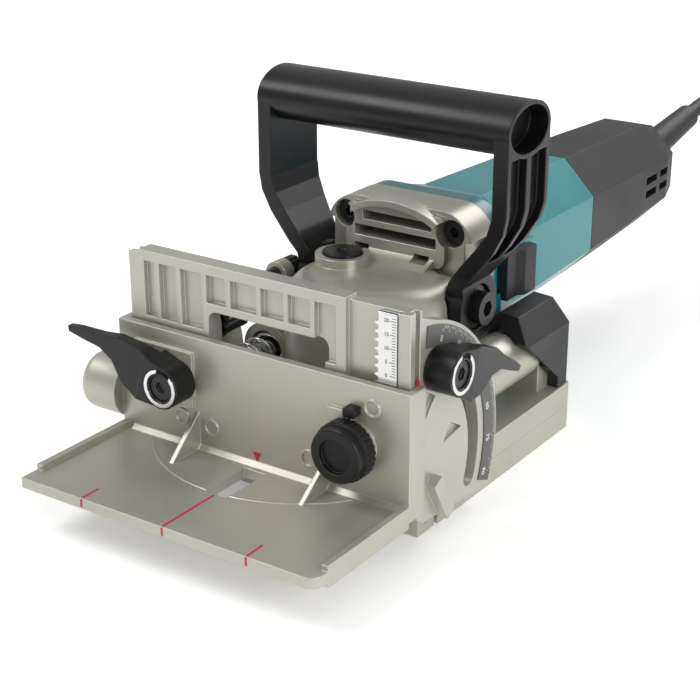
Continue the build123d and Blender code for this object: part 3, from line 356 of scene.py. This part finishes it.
TABLE_TOP = 22.0
TABLE_FRONT = -128.0
MARK_HALF = 0.45  # half width of a red line
MARK_THICK = 0.08
MARKS = ((-36.0, 9.0), (1.0, 28.2), (37.0, 9.0))  # place and reach of each line
EDGE_LOW, EDGE_HIGH = 18.6, 21.9  # the part of each line on the front edge


def make_table_marks(materials):
    """Red lines on the fence table, each carried down over the front edge. The middle one is the longest."""
    bm = bmesh.new()
    for x, reach in MARKS:
        x0, x1 = x - MARK_HALF, x + MARK_HALF
        y0, y1 = TABLE_FRONT + 0.5, TABLE_FRONT + reach
        top = [(x0, y0, TABLE_TOP), (x1, y0, TABLE_TOP), (x1, y1, TABLE_TOP), (x0, y1, TABLE_TOP)]
        edge = [(x0, TABLE_FRONT, EDGE_LOW), (x1, TABLE_FRONT, EDGE_LOW),
                (x1, TABLE_FRONT, EDGE_HIGH), (x0, TABLE_FRONT, EDGE_HIGH)]
        add_plate(bm, top, (0, 0, MARK_THICK))
        add_plate(bm, edge, (0, -MARK_THICK, 0))
    to_piece("table_marks", bm, materials["mark_red"], "fence_unit")


def tick_group(name):
    """A row of small blocks: Count blocks from First by Step, straight along Z or fanned about X."""
    group = bpy.data.node_groups.new(name, "GeometryNodeTree")
    face = group.interface
    face.new_socket("Count", in_out="INPUT", socket_type="NodeSocketInt")
    for label in ("First", "Step", "Radius"):
        face.new_socket(label, in_out="INPUT", socket_type="NodeSocketFloat")
    face.new_socket("Fan", in_out="INPUT", socket_type="NodeSocketFloat")
    face.new_socket("Block", in_out="INPUT", socket_type="NodeSocketVector")
    face.new_socket("Centre", in_out="INPUT", socket_type="NodeSocketVector")
    face.new_socket("Material", in_out="INPUT", socket_type="NodeSocketMaterial")
    face.new_socket("Geometry", in_out="OUTPUT", socket_type="NodeSocketGeometry")
    gin = group.nodes.new("NodeGroupInput")
    gout = group.nodes.new("NodeGroupOutput")
    line = add_node(group, "GeometryNodeMeshLine")
    index = add_node(group, "GeometryNodeInputIndex")
    value = add_node(group, "ShaderNodeMath", operation="MULTIPLY_ADD")
    angle = add_node(group, "ShaderNodeMath", operation="MULTIPLY")
    rise = add_node(group, "ShaderNodeMath", operation="MULTIPLY")
    cosine = add_node(group, "ShaderNodeMath", operation="COSINE")
    sine = add_node(group, "ShaderNodeMath", operation="SINE")
    across = add_node(group, "ShaderNodeMath", operation="MULTIPLY")
    up = add_node(group, "ShaderNodeMath", operation="MULTIPLY_ADD")
    straight = add_node(group, "ShaderNodeMath", operation="SUBTRACT")
    straight.inputs[0].default_value = 1.0
    place = add_node(group, "ShaderNodeCombineXYZ")
    turn = add_node(group, "ShaderNodeCombineXYZ")
    put = add_node(group, "GeometryNodeSetPosition")
    block = add_node(group, "GeometryNodeMeshCube")
    copies = add_node(group, "GeometryNodeInstanceOnPoints")
    shift = add_node(group, "GeometryNodeTransform")
    real = add_node(group, "GeometryNodeRealizeInstances")
    paint = add_node(group, "GeometryNodeSetMaterial")
    link = group.links.new
    link(gin.outputs["Count"], line.inputs["Count"])
    link(index.outputs["Index"], value.inputs[0])
    link(gin.outputs["Step"], value.inputs[1])
    link(gin.outputs["First"], value.inputs[2])
    # Fan is 1 for an arc and 0 for a straight row
    link(value.outputs["Value"], angle.inputs[0])
    link(gin.outputs["Fan"], angle.inputs[1])
    link(gin.outputs["Fan"], straight.inputs[1])
    link(angle.outputs["Value"], cosine.inputs[0])
    link(angle.outputs["Value"], sine.inputs[0])
    link(cosine.outputs["Value"], across.inputs[0])
    link(gin.outputs["Radius"], across.inputs[1])
    link(value.outputs["Value"], rise.inputs[0])
    link(straight.outputs["Value"], rise.inputs[1])
    link(sine.outputs["Value"], up.inputs[0])
    link(gin.outputs["Radius"], up.inputs[1])
    link(rise.outputs["Value"], up.inputs[2])
    link(across.outputs["Value"], place.inputs["Y"])
    link(up.outputs["Value"], place.inputs["Z"])
    link(angle.outputs["Value"], turn.inputs["X"])
    link(line.outputs["Mesh"], put.inputs["Geometry"])
    link(place.outputs["Vector"], put.inputs["Position"])
    link(gin.outputs["Block"], block.inputs["Size"])
    link(put.outputs["Geometry"], copies.inputs["Points"])
    link(block.outputs["Mesh"], copies.inputs["Instance"])
    link(turn.outputs["Vector"], copies.inputs["Rotation"])
    link(copies.outputs["Instances"], shift.inputs["Geometry"])
    link(gin.outputs["Centre"], shift.inputs["Translation"])
    link(shift.outputs["Geometry"], real.inputs["Geometry"])
    link(real.outputs["Geometry"], paint.inputs["Geometry"])
    link(gin.outputs["Material"], paint.inputs["Material"])
    link(paint.outputs["Geometry"], gout.inputs["Geometry"])
    return group


def run_group(name, group, values, body):
    """Evaluate a node group on a fresh object and keep the plain mesh it gives."""
    holder = bpy.data.objects.new(name, bpy.data.meshes.new(name + "_seed"))
    bpy.context.collection.objects.link(holder)
    modifier = holder.modifiers.new("nodes", "NODES")
    modifier.node_group = group
    for item in group.interface.items_tree:
        if item.item_type == "SOCKET" and item.in_out == "INPUT":
            modifier[item.identifier] = values[item.name]
    graph = bpy.context.evaluated_depsgraph_get()
    mesh = bpy.data.meshes.new_from_object(holder.evaluated_get(graph))
    mesh.name = name
    holder.modifiers.remove(modifier)
    holder.data = mesh
    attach(holder, body)


LABEL_X = 62.37  # outer face of the angle label
SECTOR_R = 57.3
ZERO_PHI = 72.0  # angle of the zero mark above the +Y direction
SCALE_X, SCALE_Y = 54.0, -68.98  # middle and front face of the height label
SCALE_ZERO = 69.5  # height of its zero mark
NUMBER_DEPTH = 0.06
NUMBER_IN = 6.6  # from the rim of the sector in to the middle of the numbers
ANGLE_NUMBER, HEIGHT_NUMBER = 3.1, 2.0  # text sizes
PLATE_FRONT = -72.5  # front face of the fence plate
DOT_X, DOT_Y, DOT_Z, DOT_R = 62.02, -63.4, 66.5, 1.3


def make_scale_ticks(materials):
    ticks = tick_group("tick_row")
    arc = {"First": math.radians(ZERO_PHI - 90), "Fan": 1.0, "Centre": (LABEL_X * MM, PIVOT.y, PIVOT.z),
           "Material": materials["mark_white"]}
    for name, count, step, length in (("fine", 91, 1.0, 1.1), ("coarse", 19, 5.0, 2.2)):
        values = dict(arc, Count=count, Step=math.radians(step), Radius=(SECTOR_R - 1.8 - length / 2) * MM,
                      Block=(NUMBER_DEPTH * 2 * MM, length * MM, 0.16 * MM))
        run_group("angle_ticks_" + name, ticks, values, "guide")
    for name, count, step, length in (("fine", 22, 1.0, 1.3), ("coarse", 5, 5.0, 2.3)):
        values = {"Count": count, "First": SCALE_ZERO * MM, "Step": step * MM, "Radius": 0.0, "Fan": 0.0,
                  "Block": (length * MM, NUMBER_DEPTH * 2 * MM, 0.2 * MM),
                  "Centre": ((SCALE_X + 2.4 - length / 2) * MM, SCALE_Y * MM, 0.0),
                  "Material": materials["mark_black"]}
        run_group("height_ticks_" + name, ticks, values, "guide")


def add_number(bm, text, size, matrix):
    """Adds the outline of a short number, its local Z pushed a little out of the label."""
    font = bpy.data.curves.new("number", "FONT")
    font.body = text
    font.size = size * MM
    font.extrude = NUMBER_DEPTH * MM
    font.resolution_u = 3
    font.align_x = "CENTER"
    font.align_y = "CENTER"
    holder = bpy.data.objects.new("number", font)
    bpy.context.collection.objects.link(holder)
    graph = bpy.context.evaluated_depsgraph_get()
    mesh = bpy.data.meshes.new_from_object(holder.evaluated_get(graph))
    mesh.transform(matrix)
    bm.from_mesh(mesh)
    bpy.data.objects.remove(holder)
    bpy.data.curves.remove(font)
    bpy.data.meshes.remove(mesh)


def make_numbers(materials):
    bm = bmesh.new()
    for value in range(0, 91, 15):
        phi = math.radians(ZERO_PHI - value)
        out = Vector((0, math.cos(phi), math.sin(phi)))
        along = Vector((0, math.sin(phi), -math.cos(phi)))
        place = Vector((LABEL_X * MM, PIVOT.y, PIVOT.z)) + out * (SECTOR_R - NUMBER_IN) * MM
        turn = Matrix((along, out, (1, 0, 0))).transposed().to_4x4()
        add_number(bm, str(value), ANGLE_NUMBER, Matrix.Translation(place) @ turn)
    to_piece("angle_numbers", bm, materials["mark_white"], "guide")
    bm = bmesh.new()
    turn = Matrix(((1, 0, 0), (0, 0, 1), (0, -1, 0))).transposed().to_4x4()
    for value in range(0, 21, 5):
        place = Vector((SCALE_X - 1.2, SCALE_Y, SCALE_ZERO + value)) * MM
        add_number(bm, str(value), HEIGHT_NUMBER, Matrix.Translation(place) @ turn)
    to_piece("height_numbers", bm, materials["mark_black"], "guide")


def make_pointers(materials):
    """Red triangle over the window, red dot beside the angle scale."""
    bm = bmesh.new()
    arrow = [(-2.6, PLATE_FRONT, 27.4), (1.4, PLATE_FRONT, 27.4), (-0.6, PLATE_FRONT, 23.6)]
    add_plate(bm, arrow, (0, -0.1, 0))
    to_piece("window_arrow", bm, materials["mark_red"], "fence_unit")
    bm = bmesh.new()
    angles = [math.radians(30 * k) for k in range(12)]
    ring = [(DOT_X, DOT_Y + DOT_R * math.cos(a), DOT_Z + DOT_R * math.sin(a)) for a in angles]
    add_plate(bm, ring, (0.12, 0, 0))
    to_piece("angle_dot", bm, materials["mark_red"], "guide")


# ---- build -------------------------------------------------------------------------
add_camera()
add_stage()
MATERIALS = make_materials()
make_cord(MATERIALS)
dress_frame(MATERIALS)
make_table_marks(MATERIALS)
make_scale_ticks(MATERIALS)
make_numbers(MATERIALS)
make_pointers(MATERIALS)
